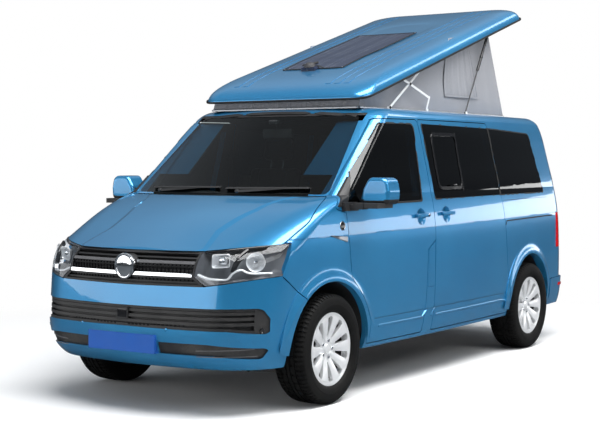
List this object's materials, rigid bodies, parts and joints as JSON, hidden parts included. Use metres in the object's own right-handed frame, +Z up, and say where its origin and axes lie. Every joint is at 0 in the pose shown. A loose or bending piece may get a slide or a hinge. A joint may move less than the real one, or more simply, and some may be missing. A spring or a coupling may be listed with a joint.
{
  "type": "camper van",
  "caption": "Compact camper van with a side-hinged front pop roof raised on canvas walls, opening doors, bonnet and tailgate, steered and spinning wheels.",
  "frame": {"origin": "on the ground at the centre of the footprint", "axes": "+Y from the nose to the tailgate, +X the vehicle's left side, +Z up"},
  "size_m": [2.299, 4.9114, 2.7712],
  "materials": {
    "body_paint": "metallic gloss",
    "glazing": "dark tint",
    "clear_glass": "clear, slightly green",
    "black_plastic": "fine grain",
    "chrome": "polished",
    "lamp": "clear cover over reflectors",
    "tail_lamp": "red lens",
    "tyre": "black rubber",
    "alloy": "painted silver",
    "seat_fabric": "woven dark grey",
    "trim_plastic": "grained dark grey",
    "furniture": "light laminate",
    "underbody": "satin black",
    "cast_metal": "raw",
    "steel": "bare",
    "lift_metal": "satin",
    "strut_black": "gloss black",
    "canvas": "coated grey cotton",
    "solar": "dark blue cells under glass",
    "plate": "blank blue plate"
  },
  "bodies": {
    "body": {"side_left": "body_paint", "side_right": "body_paint", "wing_left": "body_paint", "wing_right": "body_paint", "roof_frame": "body_paint", "floor_pan": "underbody", "front_bumper": "body_paint", "bumper_grille": "black_plastic", "radiator_grille": "black_plastic", "grille_trim": "chrome", "headlamps": "lamp", "tail_lamps": "tail_lamp", "rear_bumper": "body_paint", "windscreen": "clear_glass", "side_glass": "glazing", "sliding_door": "body_paint", "fuel_flap": "body_paint", "screen_trim": "black_plastic", "number_plates": "plate", "dashboard": "trim_plastic", "front_seats": "seat_fabric", "seat_bases": "trim_plastic", "rear_bench": "seat_fabric", "kitchen_unit": "furniture", "engine_block": "cast_metal", "front_suspension": "underbody", "rear_axle": "underbody", "exhaust": "steel", "fuel_tank": "black_plastic", "spare_wheel": "tyre", "wheel_liners": "black_plastic", "roof_brackets": "lift_metal", "roof_canvas": "canvas"},
    "door_left": {"door_left": "body_paint", "door_left_glass": "glazing", "mirror_left": "black_plastic"},
    "door_right": {"door_right": "body_paint", "door_right_glass": "glazing", "mirror_right": "black_plastic"},
    "bonnet": {"bonnet": "body_paint"},
    "tailgate": {"tailgate": "body_paint", "tailgate_glass": "glazing"},
    "pop_roof": {"pop_roof": "body_paint", "solar_panel": "solar"},
    "lift_arms": {"lift_arms": "lift_metal"},
    "lift_braces": {"lift_braces": "lift_metal"},
    "lift_links": {"lift_links": "lift_metal"},
    "strut_barrels": {"strut_barrels": "strut_black"},
    "strut_rods": {"strut_rods": "steel"},
    "knuckle_left": {"knuckle_left": "cast_metal"},
    "knuckle_right": {"knuckle_right": "cast_metal"},
    "wheel_front_left": {"tyre_front_left": "tyre", "rim_front_left": "alloy"},
    "wheel_front_right": {"tyre_front_right": "tyre", "rim_front_right": "alloy"},
    "wheel_rear_left": {"tyre_rear_left": "tyre", "rim_rear_left": "alloy"},
    "wheel_rear_right": {"tyre_rear_right": "tyre", "rim_rear_right": "alloy"},
    "steering_wheel": {"steering_wheel": "black_plastic"}
  },
  "joints": [
    {"name": "door_left_hinge", "type": "hinge", "parent": "body", "child": "door_left", "pos_m": [0.915, -1.396, 0.9], "axis": [0, 0, -1], "range_deg": [0, 68]},
    {"name": "door_right_hinge", "type": "hinge", "parent": "body", "child": "door_right", "pos_m": [-0.915, -1.396, 0.9], "axis": [0, 0, 1], "range_deg": [0, 68]},
    {"name": "bonnet_hinge", "type": "hinge", "parent": "body", "child": "bonnet", "pos_m": [0, -1.39, 1.345], "axis": [-1, 0, 0], "range_deg": [0, 50]},
    {"name": "tailgate_hinge", "type": "hinge", "parent": "body", "child": "tailgate", "pos_m": [0, 2.182, 1.803], "axis": [1, 0, 0], "range_deg": [0, 86]},
    {"name": "roof_tilt", "type": "hinge", "parent": "body", "child": "pop_roof", "pos_m": [0, -0.909, 1.729], "axis": [1, 0, 0], "range_deg": [-16.8, 0], "deforming": ["roof_canvas"]},
    {"name": "arm_swing", "type": "hinge", "parent": "body", "child": "lift_arms", "pos_m": [0, -0.37, 1.885], "axis": [1, 0, 0], "range_deg": [-33.08, 0]},
    {"name": "brace_swing", "type": "hinge", "parent": "lift_arms", "child": "lift_braces", "pos_m": [0, -0.09629, 2.06023], "axis": [1, 0, 0], "range_deg": [0, 49.58]},
    {"name": "link_swing", "type": "hinge", "parent": "body", "child": "lift_links", "pos_m": [0, 0.132, 1.88], "axis": [1, 0, 0], "range_deg": [-63.75, 0]},
    {"name": "strut_swing", "type": "hinge", "parent": "pop_roof", "child": "strut_barrels", "pos_m": [0, 1.22748, 2.57565], "axis": [1, 0, 0], "range_deg": [-37.73, 0]},
    {"name": "strut_slide", "type": "slide", "parent": "strut_barrels", "child": "strut_rods", "axis": [0, 0.5238, 0.8519], "range_m": [0, 0.2339]},
    {"name": "steer_left", "type": "hinge", "parent": "body", "child": "knuckle_left", "pos_m": [0.735, -1.54, 0.345], "axis": [0, 0, 1], "range_deg": [-35, 35]},
    {"name": "steer_right", "type": "hinge", "parent": "body", "child": "knuckle_right", "pos_m": [-0.735, -1.54, 0.345], "axis": [0, 0, 1], "range_deg": [-35.1, 35.1]},
    {"name": "steering_wheel_turn", "type": "hinge", "parent": "body", "child": "steering_wheel", "pos_m": [-0.4, -0.94, 1.14], "axis": [0, 0.766, 0.6428], "range_deg": [-526, 526]},
    {"name": "spin_front_left", "type": "hinge", "parent": "knuckle_left", "child": "wheel_front_left", "pos_m": [0.814, -1.54, 0.345], "axis": [1, 0, 0], "continuous": true},
    {"name": "spin_front_right", "type": "hinge", "parent": "knuckle_right", "child": "wheel_front_right", "pos_m": [-0.814, -1.54, 0.345], "axis": [1, 0, 0], "continuous": true},
    {"name": "spin_rear_left", "type": "hinge", "parent": "body", "child": "wheel_rear_left", "pos_m": [0.814, 1.46, 0.345], "axis": [1, 0, 0], "continuous": true},
    {"name": "spin_rear_right", "type": "hinge", "parent": "body", "child": "wheel_rear_right", "pos_m": [-0.814, 1.46, 0.345], "axis": [1, 0, 0], "continuous": true}
  ],
  "couplings": [
    {"joint": "arm_swing", "follows": "roof_tilt", "ratio": 1.9656},
    {"joint": "brace_swing", "follows": "roof_tilt", "ratio": -2.9477},
    {"joint": "link_swing", "follows": "roof_tilt", "ratio": 3.791},
    {"joint": "strut_swing", "follows": "roof_tilt", "ratio": 2.2423},
    {"joint": "strut_slide", "follows": "roof_tilt", "m_per_rad": -0.79426},
    {"joint": "steer_right", "follows": "steer_left", "ratio": 1},
    {"joint": "steering_wheel_turn", "follows": "steer_left", "ratio": 15}
  ]
}
